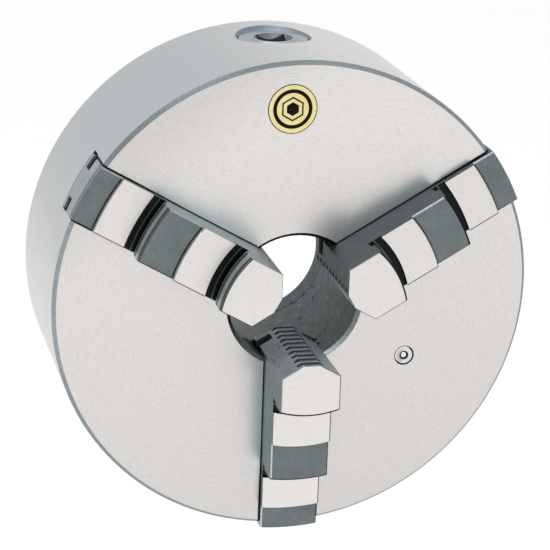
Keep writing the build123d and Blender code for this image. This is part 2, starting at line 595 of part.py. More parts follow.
# ---------------------------------------------------------------- jaws
def make_jaw(angle):
    """Step jaw, guided by its grooves and driven by teeth that fit the spiral at this angle."""
    outwards = Axis((0, 0, 0), radial(angle))
    with BuildPart() as jaw:
        rear = JAW_FOOT_REAR
        for outer_radius, top in zip(JAW_OUTER_RADII, JAW_STEP_TOPS):
            with BuildSketch(level(rear, angle)):
                jaw_outline(outer_radius)
            extrude(amount=top - rear)
            rear = top
        # The outer part of the two lower steps is left unground, on a ledge just below the land.
        for outer_radius, ledge_radius, top in zip(JAW_OUTER_RADII, JAW_LEDGE_RADII, JAW_STEP_TOPS):
            with BuildSketch(level(top - JAW_LEDGE_DROP, angle)):
                Circle(outer_radius + JAW_LEDGE_DROP)
                Circle(ledge_radius, mode=Mode.SUBTRACT)
            extrude(amount=JAW_LEDGE_DROP, mode=Mode.SUBTRACT)
        # Broken edges: widest round the ledges, rounded where a land meets its ledge.
        for outer_radius, ledge_radius, top in zip(JAW_OUTER_RADII, JAW_LEDGE_RADII, JAW_STEP_TOPS):
            land_end = edges_at(jaw, top)
            land_end = land_end.filter_by_position(outwards, ledge_radius - FINDING_BAND, outer_radius)
            fillet(land_end, radius=JAW_LEDGE_ROUNDING)
            ledge = edges_at(jaw, top - JAW_LEDGE_DROP)
            ledge = ledge.filter_by_position(outwards, ledge_radius + FINDING_BAND, outer_radius)
            chamfer(ledge, length=JAW_LEDGE_CHAMFER)
        chamfer(edges_at(jaw, JAW_STEP_TOPS[-1]), length=JAW_EDGE_CHAMFER)
        # Grinding undercut at the root of each riser.
        for root_radius, top in zip(JAW_OUTER_RADII[1:], JAW_STEP_TOPS):
            with BuildSketch(level(top - UNDERCUT_DEPTH, angle)):
                Circle(root_radius + UNDERCUT_FLOOR_WIDTH)
                Circle(root_radius - UNDERCUT_RELIEF, mode=Mode.SUBTRACT)
            extrude(amount=UNDERCUT_DEPTH, mode=Mode.SUBTRACT)
            with BuildSketch(level(top, angle)):
                Circle(root_radius + UNDERCUT_OVERLAP)
                Circle(root_radius - UNDERCUT_RELIEF, mode=Mode.SUBTRACT)
            extrude(amount=UNDERCUT_RELIEF_HEIGHT, mode=Mode.SUBTRACT)
        # Guide grooves along both sides, which the body's tongues run in.
        with BuildSketch(level(JAW_GROOVE_REAR, angle)):
            for side in (-1, 1):
                with Locations((FULL_CUT / 2, side * (JAW_WEB_WIDTH + JAW_WIDTH) / 2)):
                    Rectangle(FULL_CUT, JAW_WIDTH)
        extrude(amount=JAW_GROOVE_FRONT - JAW_GROOVE_REAR, mode=Mode.SUBTRACT)
        # Gripping serrations across the nose.
        with BuildSketch(jaw_side_plane(angle)):
            run_out = SERRATION_MOUTH_WIDTH + (SERRATION_MOUTH_WIDTH - SERRATION_BOTTOM_WIDTH)
            for groove in range(SERRATION_COUNT):
                middle = JAW_STEP_TOPS[-1] - SERRATION_TOP - groove * SERRATION_PITCH
                Polygon(
                    (JAW_NOSE + SERRATION_DEPTH, middle - SERRATION_BOTTOM_WIDTH / 2),
                    (JAW_NOSE + SERRATION_DEPTH, middle + SERRATION_BOTTOM_WIDTH / 2),
                    (JAW_NOSE - SERRATION_DEPTH, middle + run_out / 2),
                    (JAW_NOSE - SERRATION_DEPTH, middle - run_out / 2),
                    align=None,
                )
        extrude(amount=JAW_WIDTH / 2, both=True, mode=Mode.SUBTRACT)
        # Scroll teeth at the spiral groove's places for this jaw.
        for distance in groove_centres(angle):
            centre = radial(angle) * distance + Vector(0, -JAW_TOOTH_REAR, 0)
            with BuildSketch(Plane(centre, x_dir=radial(angle - JAW_TOOTH_LEAD), z_dir=(0, -1, 0))):
                Rectangle(2 * JAW_TOOTH_WIDTH, JAW_WIDTH - JAW_TOOTH_INSET)
                with Locations((JAW_TOOTH_WIDTH / 2 - JAW_TOOTH_OUTER_FLANK, 0)):
                    Circle(JAW_TOOTH_OUTER_FLANK, mode=Mode.INTERSECT)
                with Locations((-JAW_TOOTH_WIDTH / 2 - JAW_TOOTH_INNER_FLANK, 0)):
                    Circle(JAW_TOOTH_INNER_FLANK, mode=Mode.SUBTRACT)
            extrude(amount=JAW_FOOT_REAR - JAW_TOOTH_REAR)
    return jaw


for number, jaw_angle in enumerate(JAW_ANGLES, start=1):
    finish_piece(make_jaw(jaw_angle), f"jaw_{number}")

# ---------------------------------------------------------------- badge and ball oiler
with BuildPart() as badge_plate:
    with BuildSketch(profile_plane(BADGE_CENTRE)):
        Polygon(
            (0, BADGE_REAR),
            (BADGE_RADIUS, BADGE_REAR),
            (BADGE_RADIUS, BADGE_FRONT - BADGE_EDGE),
            (BADGE_RADIUS - BADGE_EDGE, BADGE_FRONT),
            (0, BADGE_FRONT),
            align=None,
        )
    revolve(axis=turning_axis(BADGE_CENTRE))
finish_piece(badge_plate, "badge_plate")

# Pressed-in cup with a drilled floor; the ball closes its mouth from inside.
with BuildPart() as oiler_cup:
    with BuildSketch(profile_plane(OILER_CENTRE)):
        Polygon(
            (OIL_PASSAGE_RADIUS, OILER_REAR),
            (OILER_RADIUS, OILER_REAR),
            (OILER_RADIUS, BODY_HEIGHT - OILER_EDGE),
            (OILER_RADIUS - OILER_EDGE, BODY_HEIGHT),
            (OILER_FLARE_RADIUS, BODY_HEIGHT),
            (OILER_MOUTH_RADIUS, OILER_LIP_FRONT),
            (OILER_MOUTH_RADIUS, OILER_LIP_REAR),
            (OILER_CAVITY_RADIUS, OILER_LIP_REAR),
            (OILER_CAVITY_RADIUS, OILER_FLOOR),
            (OIL_PASSAGE_RADIUS, OILER_FLOOR),
            align=None,
        )
    revolve(axis=turning_axis(OILER_CENTRE))
finish_piece(oiler_cup, "oiler_cup")

ball_drop = sqrt(BALL_RADIUS**2 - OILER_MOUTH_RADIUS**2) + BALL_CLEARANCE
ball_height = OILER_LIP_REAR - ball_drop
with BuildPart() as oiler_ball:
    with BuildSketch(profile_plane(OILER_CENTRE)):
        with Locations((0, ball_height)):
            Circle(BALL_RADIUS)
            Rectangle(BALL_RADIUS, 2 * BALL_RADIUS, align=(Align.MAX, Align.CENTER), mode=Mode.SUBTRACT)
    revolve(axis=turning_axis(OILER_CENTRE))
finish_piece(oiler_ball, "oiler_ball")

spring_start = OILER_FLOOR + SPRING_WIRE_RADIUS
spring_length = ball_height - BALL_RADIUS + SPRING_WIRE_RADIUS - spring_start
spring_foot = (OILER_CENTRE[0], -spring_start, OILER_CENTRE[1])
with BuildPart() as oiler_spring:
    with BuildLine():
        coil = Helix(
            pitch=spring_length / SPRING_TURNS,
            height=spring_length,
            radius=SPRING_RADIUS,
            center=spring_foot,
            direction=(0, -1, 0),
        )
    with BuildSketch(Plane(origin=coil @ 0, z_dir=coil % 0)):
        Circle(SPRING_WIRE_RADIUS)
    sweep(is_frenet=True)
finish_piece(oiler_spring, "oiler_spring")
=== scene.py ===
from math import cos, pi, radians, sin

import bmesh
import bpy
from mathutils import Matrix, Vector


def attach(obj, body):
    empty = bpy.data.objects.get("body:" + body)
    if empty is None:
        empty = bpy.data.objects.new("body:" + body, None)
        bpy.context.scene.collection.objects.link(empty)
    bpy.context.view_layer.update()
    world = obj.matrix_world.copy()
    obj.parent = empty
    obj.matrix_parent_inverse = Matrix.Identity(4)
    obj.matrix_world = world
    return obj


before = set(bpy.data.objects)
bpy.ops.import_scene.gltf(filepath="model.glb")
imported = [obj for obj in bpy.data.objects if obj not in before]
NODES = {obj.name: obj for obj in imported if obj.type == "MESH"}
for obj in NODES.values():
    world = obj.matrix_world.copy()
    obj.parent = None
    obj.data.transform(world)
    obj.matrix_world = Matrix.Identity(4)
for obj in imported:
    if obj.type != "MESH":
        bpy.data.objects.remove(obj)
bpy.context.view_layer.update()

# A three-jaw scroll chuck. Metres, in the frame of the CAD model: the origin is on the spindle
# axis in the rear mounting plane, the chuck faces -Y and +Z is up. The chuck's own measures
# below are in millimetres.
MM = 0.001

BODY_RADIUS = 100.0
BODY_HEIGHT = 76.0
BORE_RADIUS = 27.5
COVER_REAR = 5.2
JOINT_HEIGHT = 18.0
PINION_HEIGHT = 27.0
JAW_ANGLES = {"jaw_1": 30.0, "jaw_2": 150.0, "jaw_3": 270.0}
PINION_ANGLES = {"pinion_1": 90.0, "pinion_2": 210.0, "pinion_3": 330.0}
BADGE_CENTRE = (-4.0, 80.7)
OILER_CENTRE = (48.1, -27.2)

scene = bpy.context.scene


# ---------------------------------------------------------------- camera
CAMERA_PLACE = Vector((-0.21509, -0.83957, 0.28564))
CAMERA_FORWARD = Vector((0.24759, 0.91381, -0.32194))
CAMERA_ROLL = radians(1.983)
CAMERA_LENS = 135.09
CAMERA_SENSOR = 36.0
CAMERA_SHIFT = (-0.00408, -0.02194)


def make_camera():
    """Camera at the photograph's viewing angle."""
    forward = CAMERA_FORWARD.normalized()
    level_right = forward.cross(Vector((0, 0, 1))).normalized()
    level_up = level_right.cross(forward)
    right = cos(CAMERA_ROLL) * level_right + sin(CAMERA_ROLL) * level_up
    up = cos(CAMERA_ROLL) * level_up - sin(CAMERA_ROLL) * level_right
    turn = Matrix((right, up, -forward)).transposed().to_4x4()
    data = bpy.data.cameras.new("camera")
    data.lens = CAMERA_LENS
    data.sensor_width = CAMERA_SENSOR
    data.shift_x, data.shift_y = CAMERA_SHIFT
    camera = bpy.data.objects.new("camera", data)
    camera.matrix_world = Matrix.Translation(CAMERA_PLACE) @ turn
    scene.collection.objects.link(camera)
    scene.camera = camera


make_camera()


# ---------------------------------------------------------------- node helpers
class Shader:
    """A small helper that adds nodes to one material and links them."""

    def __init__(self, name):
        self.material = bpy.data.materials.new(name)
        self.material.use_nodes = True
        self.tree = self.material.node_tree
        self.bsdf = self.tree.nodes["Principled BSDF"]
        self.places = None
        self.facing = None
        self.turned = None

    def node(self, kind, **settings):
        made = self.tree.nodes.new(kind)
        for key, value in settings.items():
            setattr(made, key, value)
        return made

    def put(self, socket, value):
        if isinstance(value, bpy.types.NodeSocket):
            self.tree.links.new(value, socket)
        else:
            socket.default_value = value

    # ---- numbers
    def math(self, operation, first, second=0.0):
        made = self.node("ShaderNodeMath", operation=operation)
        self.put(made.inputs[0], first)
        self.put(made.inputs[1], second)
        return made.outputs[0]

    def plus(self, first, second):
        return self.math("ADD", first, second)

    def minus(self, first, second):
        return self.math("SUBTRACT", first, second)

    def times(self, first, *others):
        """Product of two or more values."""
        for other in others:
            first = self.math("MULTIPLY", first, other)
        return first

    def shared(self, first, share, second):
        """A mean of two values in which the first has that share."""
        return self.plus(self.times(first, share), self.times(second, 1.0 - share))

    def length(self, first, second):
        """Length of the arrow that has these two parts."""
        return self.math("SQRT", self.plus(self.times(first, first), self.times(second, second)))

    def along(self, first, second, turn):
        """Reach of an X and a Z in the direction at that angle about the spindle axis."""
        return self.plus(self.times(first, cos(turn)), self.times(second, sin(turn)))

    def across(self, first, second, turn):
        """Reach of an X and a Z square to that direction, counter-clockwise from it."""
        return self.minus(self.times(second, cos(turn)), self.times(first, sin(turn)))

    def spread(self, value, low, high, out_low=0.0, out_high=1.0, smooth=True):
        """A value's stretch from low to high, mapped onto another stretch and held there."""
        made = self.node("ShaderNodeMapRange", clamp=True)
        if smooth:
            made.interpolation_type = "SMOOTHSTEP"
        for socket, number in zip(made.inputs, (value, low, high, out_low, out_high)):
            self.put(socket, number)
        return made.outputs[0]

    def band(self, value, low, high, soft):
        """1 between low and high, 0 outside, with soft edges."""
        rise = self.spread(value, low - soft, low + soft)
        fall = self.spread(value, high - soft, high + soft, 1.0, 0.0)
        return self.times(rise, fall)

    def edge(self, distance, low, high):
        """0 to 1 as a distance goes from low to high, which are in millimetres."""
        return self.spread(distance, low * MM, high * MM)

    def belt(self, distance, low, high, soft):
        """1 between two distances and 0 outside, with soft edges, all in millimetres."""
        return self.band(distance, low * MM, high * MM, soft * MM)

    def blend(self, amount, first, second):
        """A number between two numbers."""
        made = self.node("ShaderNodeMix", data_type="FLOAT")
        self.put(made.inputs["Factor"], amount)
        self.put(made.inputs["A"], first)
        self.put(made.inputs["B"], second)
        return made.outputs["Result"]

    # ---- places
    def object_place(self):
        """The place as a vector and as X, Y and Z: object coordinates, which ride with the body."""
        if self.places is None:
            source = self.node("ShaderNodeTexCoord")
            split = self.node("ShaderNodeSeparateXYZ")
            self.tree.links.new(source.outputs["Object"], split.inputs[0])
            self.places = (source.outputs["Object"], *split.outputs)
        return self.places

    def object_normal(self):
        """X, Y and Z of the surface's own direction, which rides with the body."""
        if self.facing is None:
            source = self.node("ShaderNodeTexCoord")
            split = self.node("ShaderNodeSeparateXYZ")
            self.tree.links.new(source.outputs["Normal"], split.inputs[0])
            self.facing = tuple(split.outputs)
        return self.facing

    def turned_parts(self):
        """Distance from the spindle axis and height above the rear plane."""
        if self.turned is None:
            _, x, y, z = self.object_place()
            self.turned = (self.length(x, z), self.times(y, -1.0))
        return self.turned

    def combine(self, x, y, z):
        made = self.node("ShaderNodeCombineXYZ")
        for socket, value in zip(made.inputs, (x, y, z)):
            self.put(socket, value)
        return made.outputs[0]

    def noise(self, vector, scale, detail=2.0, roughness=0.5):
        made = self.node("ShaderNodeTexNoise")
        self.put(made.inputs["Vector"], vector)
        made.inputs["Scale"].default_value = scale
        made.inputs["Detail"].default_value = detail
        made.inputs["Roughness"].default_value = roughness
        return made.outputs["Fac"]

    # ---- colours
    def mix(self, amount, first, second):
        made = self.node("ShaderNodeMix", data_type="RGBA")
        self.put(made.inputs["Factor"], amount)
        self.put(made.inputs["A"], first)
        self.put(made.inputs["B"], second)
        return made.outputs["Result"]

    def between(self, amount, tones, low=0.3, high=0.7):
        """The first of two tones up to low, the second from high, and a mixture between."""
        return self.mix(self.spread(amount, low, high), *tones)

    def scaled(self, color, factor):
        """A colour made lighter or darker by a factor."""
        made = self.node("ShaderNodeVectorMath", operation="SCALE")
        self.put(made.inputs[0], color)
        self.put(made.inputs["Scale"], factor)
        return made.outputs["Vector"]

    def tinted(self, color, tint):
        """A colour multiplied by a tint."""
        made = self.node("ShaderNodeMix", data_type="RGBA", blend_type="MULTIPLY")
        self.put(made.inputs["Factor"], 1.0)
        self.put(made.inputs["A"], color)
        self.put(made.inputs["B"], tint)
        return made.outputs["Result"]

    # ---- the finished surface
    def bump(self, height, strength, distance):
        made = self.node("ShaderNodeBump")
        self.put(made.inputs["Height"], height)
        self.put(made.inputs["Strength"], strength)
        made.inputs["Distance"].default_value = distance
        return made.outputs["Normal"]

    def finish(self, color, roughness, metallic=1.0, normal=None, **constants):
        self.put(self.bsdf.inputs["Base Color"], color)
        self.put(self.bsdf.inputs["Roughness"], roughness)
        self.put(self.bsdf.inputs["Metallic"], metallic)
        if normal is not None:
            self.put(self.bsdf.inputs["Normal"], normal)
        for key, value in constants.items():
            self.bsdf.inputs[key.replace("_", " ")].default_value = value
        return self.material


def grey(value):
    """An RGBA colour from one linear brightness."""
    return (value, value, value, 1.0)


def tone(red, green, blue):
    """A linear RGBA colour from display values between 0 and 255."""
    parts = [value / 255.0 for value in (red, green, blue)]
    return (*[v / 12.92 if v <= 0.04045 else ((v + 0.055) / 1.055) ** 2.4 for v in parts], 1.0)


# Depths of the fine relief, in metres.
FINE_RELIEF = 0.00003
COARSE_RELIEF = 0.00004


# ---------------------------------------------------------------- bore
RUST_TONES = (tone(70, 77, 79), tone(98, 106, 108))
PIT_DARK = tone(40, 45, 46)
PIT_LIGHT = tone(134, 142, 143)
JOINT_TONE = tone(16, 18, 19)
JOINT_WIDTH = 0.62
JOINT_WANDER = 1.1


def joint_line(shader, level, width):
    """A ragged dark seam at one height inside the bore, with chips along it."""
    place = shader.object_place()[0]
    height = shader.turned_parts()[1]
    wander = shader.noise(place, 90.0, detail=5.0, roughness=0.7)
    shift = shader.spread(wander, 0.2, 0.8, -JOINT_WANDER * MM, JOINT_WANDER * MM)
    away = shader.math("ABSOLUTE", shader.minus(shader.minus(height, level), shift))
    chips = shader.noise(place, 420.0, detail=3.0)
    reach = shader.spread(chips, 0.45, 0.7, width * 0.4, width * 1.7)
    return shader.math("LESS_THAN", away, reach)


def bore_steel(shader, grain):
    """Rough, dark inside of the bore: pitted all over, with the cover's joint."""
    pits = shader.noise(shader.object_place()[0], 260.0, detail=4.0, roughness=0.7)
    rust = shader.between(grain, RUST_TONES)
    rust = shader.mix(shader.spread(pits, 0.56, 0.68), rust, PIT_DARK)
    rust = shader.mix(shader.spread(pits, 0.40, 0.30), rust, PIT_LIGHT)
    return shader.mix(joint_line(shader, JOINT_HEIGHT * MM, JOINT_WIDTH * MM), rust, JOINT_TONE)


# ---------------------------------------------------------------- body
FACE_TONES = (tone(198, 196, 194), tone(219, 215, 212))
WALL_TONES = (tone(180, 181, 182), tone(220, 219, 217))
# Painted shade on the wall towards the upper left.
WALL_SHADE = tone(150, 159, 165)
INSIDE_TONES = (tone(84, 92, 94), tone(118, 126, 128))
BORE_EDGE_SHADE = tone(34, 38, 39)
BORE_EDGE_TONES = (tone(120, 128, 130), tone(168, 175, 176))
POCKET_TONES = (tone(112, 122, 126), tone(142, 151, 155))
BAND_TONES = (tone(122, 132, 137), tone(144, 153, 157))
# Directions of the chamfer's painted shade and painted highlight.
BAND_SHADE_ANGLE = radians(117.0)
BAND_HIGHLIGHT_ANGLE = radians(176.0)
# Old oil and painted shade, for gaps, openings and creases.
OIL_AND_SHADE = tone(24, 26, 27)
# Cooler tint of the jaws' painted reflection in the face.
JAW_REFLECTION_TINT = (0.90, 1.0, 1.03, 1.0)
# The side of each jaw where its painted reflection lies on the face: 1 is the counter-clockwise one.
JAW_REFLECTION_SIDES = {"jaw_1": 1.0, "jaw_2": -1.0, "jaw_3": -1.0}
# Parts of X and Z that make up the reach towards the face's upper left.
UPPER_LEFT = (-0.62, 0.78)
# Limits of the masks: round a pinion pocket, beside a jaw's middle, and up the guides' ends.
POCKET_REACH = 17.5
GAP_OIL_REACH = 12.66
GUIDE_OIL_HEIGHTS = (60.8, 67.6)


def upper_left_reach(shader):
    _, x, _, z = shader.object_place()
    return shader.plus(shader.times(x, UPPER_LEFT[0]), shader.times(z, UPPER_LEFT[1]))


def face_color(shader, mottle):
    """Ground face, with painted light that makes it lighter towards the top and darker at the upper-left
    rim, and a cooler painted reflection beside each jaw.
    """
    _, x, _, z = shader.object_place()
    color = shader.between(mottle, FACE_TONES)
    # Painted light: the face lighter towards the top, and painted shade towards the upper-left rim.
    color = shader.scaled(color, shader.spread(z, -95.0 * MM, 75.0 * MM, 0.93, 1.14, smooth=False))
    color = shader.scaled(color, shader.spread(upper_left_reach(shader), 62.0 * MM, 98.0 * MM, 1.0, 0.86))
    # Painted reflection: a cooler tint on the face along one side of each jaw.
    for jaw, side in JAW_REFLECTION_SIDES.items():
        turn = radians(JAW_ANGLES[jaw])
        over = shader.times(shader.across(x, z, turn), side)
        beside = shader.times(shader.edge(over, 23.0, 13.0), shader.edge(over, 11.0, 12.0))
        jaw_reflection = shader.times(beside, shader.belt(shader.along(x, z, turn), 30.0, 78.0, 8.0))
        color = shader.mix(jaw_reflection, color, shader.tinted(color, JAW_REFLECTION_TINT))
    return color


def wall_color(shader, mottle):
    """Turned wall, with wide soft painted shade that makes it bluer and darker above the left jaw."""
    wall_shade = shader.spread(upper_left_reach(shader), 66.0 * MM, 99.0 * MM, 0.0, 0.55)
    return shader.mix(wall_shade, shader.between(mottle, WALL_TONES), WALL_SHADE)


def band_color(shader, grain):
    """Chamfer round the face, with painted shade at the upper left and a painted highlight at the left."""
    _, x, _, z = shader.object_place()
    # Painted shade, then a painted highlight, scaled by direction round the face.
    dull = shader.spread(shader.along(x, z, BAND_SHADE_ANGLE), 82.0 * MM, 98.0 * MM, 1.0, 0.6)
    bright = shader.spread(shader.along(x, z, BAND_HIGHLIGHT_ANGLE), 90.0 * MM, 98.0 * MM, 1.0, 1.25)
    return shader.scaled(shader.scaled(shader.between(grain, BAND_TONES), dull), bright)


def add_bore(shader, color, grain):
    """Bore wall and its chamfer, with painted shade on the chamfer, which is lighter at the lower right."""
    _, x, _, z = shader.object_place()
    radius, height = shader.turned_parts()
    in_bore = shader.times(
        shader.edge(radius, BORE_RADIUS + 0.25, BORE_RADIUS + 0.15),
        shader.edge(height, BODY_HEIGHT + 0.1, BODY_HEIGHT),
    )
    color = shader.mix(in_bore, color, bore_steel(shader, grain))
    chamfer = shader.times(
        shader.edge(height, BODY_HEIGHT - 1.6, BODY_HEIGHT - 1.4),
        shader.edge(radius, BORE_RADIUS + 1.6, BORE_RADIUS + 1.5),
    )
    # Painted shade on the chamfer everywhere but the lower right.
    lower_right = shader.edge(shader.minus(shader.times(x, 0.5), shader.times(z, 0.86)), -12.0, 20.0)
    chamfer_color = shader.mix(lower_right, BORE_EDGE_SHADE, shader.between(grain, BORE_EDGE_TONES))
    return shader.mix(chamfer, color, chamfer_color)


def add_pocket_rims(shader, color):
    """Bevelled rim of each pinion pocket, machined in fine rings."""
    _, x, _, z = shader.object_place()
    nx, _, nz = shader.object_normal()
    height = shader.turned_parts()[1]
    for angle in PINION_ANGLES.values():
        turn = radians(angle)
        out = shader.along(x, z, turn)
        up = shader.minus(height, PINION_HEIGHT * MM)
        reach = shader.length(shader.across(x, z, turn), up)
        rim = shader.times(
            shader.edge(reach, POCKET_REACH + 0.1, POCKET_REACH),
            shader.edge(out, 90.0, 90.1),
            shader.spread(shader.along(nx, nz, turn), 0.93, 0.85),
        )
        steps = shader.noise(shader.combine(out, 0.0, 0.0), 1800.0, detail=1.0)
        color = shader.mix(rim, color, shader.between(steps, POCKET_TONES))
    return color


def slot_oil_and_shade(shader, turn, cloud, chips):
    """Old oil and painted shade along one jaw: in the gap beside it, in the open ends of its guides and at
    its slot's mouth in the bore.
    """
    _, x, _, z = shader.object_place()
    height = shader.turned_parts()[1]
    out = shader.along(x, z, turn)
    across = shader.across(x, z, turn)
    over = shader.math("ABSOLUTE", across)
    wander = shader.spread(cloud, 0.3, 0.7, -0.08 * MM, 0.08 * MM)
    widening = shader.spread(out, 55.0 * MM, 92.0 * MM, 0.0, 0.25 * MM)
    gap = shader.times(
        shader.belt(shader.minus(shader.plus(over, wander), widening), 11.0, GAP_OIL_REACH, 0.06),
        shader.edge(out, 26.0, 27.0),
        shader.edge(height, 60.0, 60.5),
    )
    guide = shader.times(
        shader.edge(over, 12.2, 12.1),
        shader.belt(height, *GUIDE_OIL_HEIGHTS, 0.05),
        shader.edge(out, 80.0, 81.0),
    )
    one_sided = shader.plus(over, shader.spread(across, -1.0 * MM, 1.0 * MM, -2.2 * MM, 1.6 * MM))
    ragged = shader.plus(one_sided, shader.spread(chips, 0.3, 0.7, -1.2 * MM, 1.2 * MM))
    mouth = shader.times(
        shader.edge(ragged, 15.2, 14.7),
        shader.belt(height, 57.0, 69.0, 0.8),
        shader.belt(out, 20.0, 32.0, 1.0),
    )
    return shader.math("MAXIMUM", shader.math("MAXIMUM", gap, guide), mouth)


def make_body_steel():
    """Ground body: bright face, plain turned wall, dark rough bore, slots and rear."""
    shader = Shader("ground_steel_body")
    place, x, _, z = shader.object_place()
    radius, height = shader.turned_parts()
    front = shader.times(shader.object_normal()[1], -1.0)
    turning = shader.math("ARCTAN2", z, x)
    grain = shader.noise(place, 1500.0, detail=2.0, roughness=0.7)
    cloud = shader.noise(place, 18.0, detail=4.0, roughness=0.6)
    chips = shader.noise(place, 210.0, detail=3.0, roughness=0.6)
    # The face was ground round the axis: short curved scratches of uneven strength.
    wound = shader.combine(radius, shader.times(turning, 0.007), 0.0)
    mottle = shader.shared(grain, 0.45, shader.noise(wound, 2700.0, detail=3.0, roughness=0.65))
    # The wall was turned: fine rings along its height, broken up slowly round the body.
    wound = shader.combine(height, shader.times(turning, 0.0015), 0.0)
    wall_mottle = shader.shared(grain, 0.7, shader.noise(wound, 4200.0, detail=2.0))
    on_face = shader.times(
        shader.spread(front, 0.9, 0.97), shader.edge(height, BODY_HEIGHT - 0.1, BODY_HEIGHT - 0.03)
    )
    on_wall = shader.edge(radius, BODY_RADIUS - 0.4, BODY_RADIUS - 0.1)
    on_rear = shader.times(shader.spread(front, -0.9, -0.97), shader.edge(height, 0.1, 0.03))
    on_band = shader.times(
        shader.edge(height, BODY_HEIGHT - 2.0, BODY_HEIGHT - 1.75),
        shader.edge(radius, BODY_RADIUS - 1.9, BODY_RADIUS - 1.6),
        shader.spread(front, 0.97, 0.9),
    )
    turned_color = wall_color(shader, wall_mottle)
    color = shader.mix(on_wall, shader.between(grain, INSIDE_TONES), turned_color)
    color = add_pocket_rims(shader, add_bore(shader, color, grain))
    color = shader.mix(on_rear, color, turned_color)
    color = shader.mix(on_band, color, band_color(shader, grain))
    color = shader.mix(on_face, color, face_color(shader, mottle))
    rough = shader.blend(on_wall, 0.5, shader.spread(wall_mottle, 0.3, 0.7, 0.3, 0.42))
    rough = shader.blend(on_face, rough, shader.spread(mottle, 0.3, 0.7, 0.31, 0.36))
    for angle in JAW_ANGLES.values():
        # Old oil and painted shade in the gap, guide ends and mouth of each jaw's slot.
        oil_and_shade = slot_oil_and_shade(shader, radians(angle), cloud, chips)
        color = shader.mix(oil_and_shade, color, OIL_AND_SHADE)
        rough = shader.blend(oil_and_shade, rough, 0.7)
    relief = shader.blend(on_wall, mottle, wall_mottle)
    strength = shader.blend(on_face, 0.14, 0.03)
    return shader.finish(color, rough, normal=shader.bump(relief, strength, FINE_RELIEF))


# ---------------------------------------------------------------- jaws
# Heights and distances along a jaw, in millimetres.
LAND_HEIGHTS = (80.0, 93.4, 105.0)
# The two ledges: their height, and the radius of the short riser at their inner side.
JAW_LEDGES = ((78.2, 91.4), (91.6, 57.7))
# The long risers: radius at the foot, and height of the land below.
JAW_ROOTS = ((73.3, 80.0), (39.2, 93.4))
# Arcs at the outer end of a land or ledge, where shade is painted: radius and height.
OUTER_ARCS = ((39.2, 105.0), (73.3, 91.6))
GROOVE_WIDTH = 4.1
GROOVE_DEPTH = 1.5
HALF_JAW = 12.15
JAW_NOSE = 17.33
OUTER_END_START = 96.0

LAND_TONES = (tone(215, 211, 208), tone(222, 218, 215))
LAND_SHADE_LINE = tone(84, 89, 91)
LEDGE_TONES = (tone(106, 114, 116), tone(122, 130, 132))
STEP_TONE = tone(200, 199, 198)
FLANK_LIGHT = tone(158, 166, 168)
FLANK_DARK = tone(76, 83, 85)
SPECK_TONE = tone(150, 158, 160)
RIDGE_TONES = (tone(134, 142, 144), tone(44, 49, 51))
END_TONES = (tone(138, 147, 150), tone(158, 167, 170))
STRIPE_TONES = (tone(34, 36, 37), tone(166, 176, 179))
# Further stripes up a riser: from, to, softness and tone.
RISER_STRIPES = (
    (3.7, 5.3, 0.25, tone(84, 92, 95)),
    (5.5, 9.0, 0.25, tone(182, 191, 194)),
)
TOP_STRIPE = tone(72, 79, 82)
# Painted shade in the undercuts, and the lighter line in it.
GROOVE_SHADE_TONES = (tone(34, 36, 37), tone(92, 98, 100))


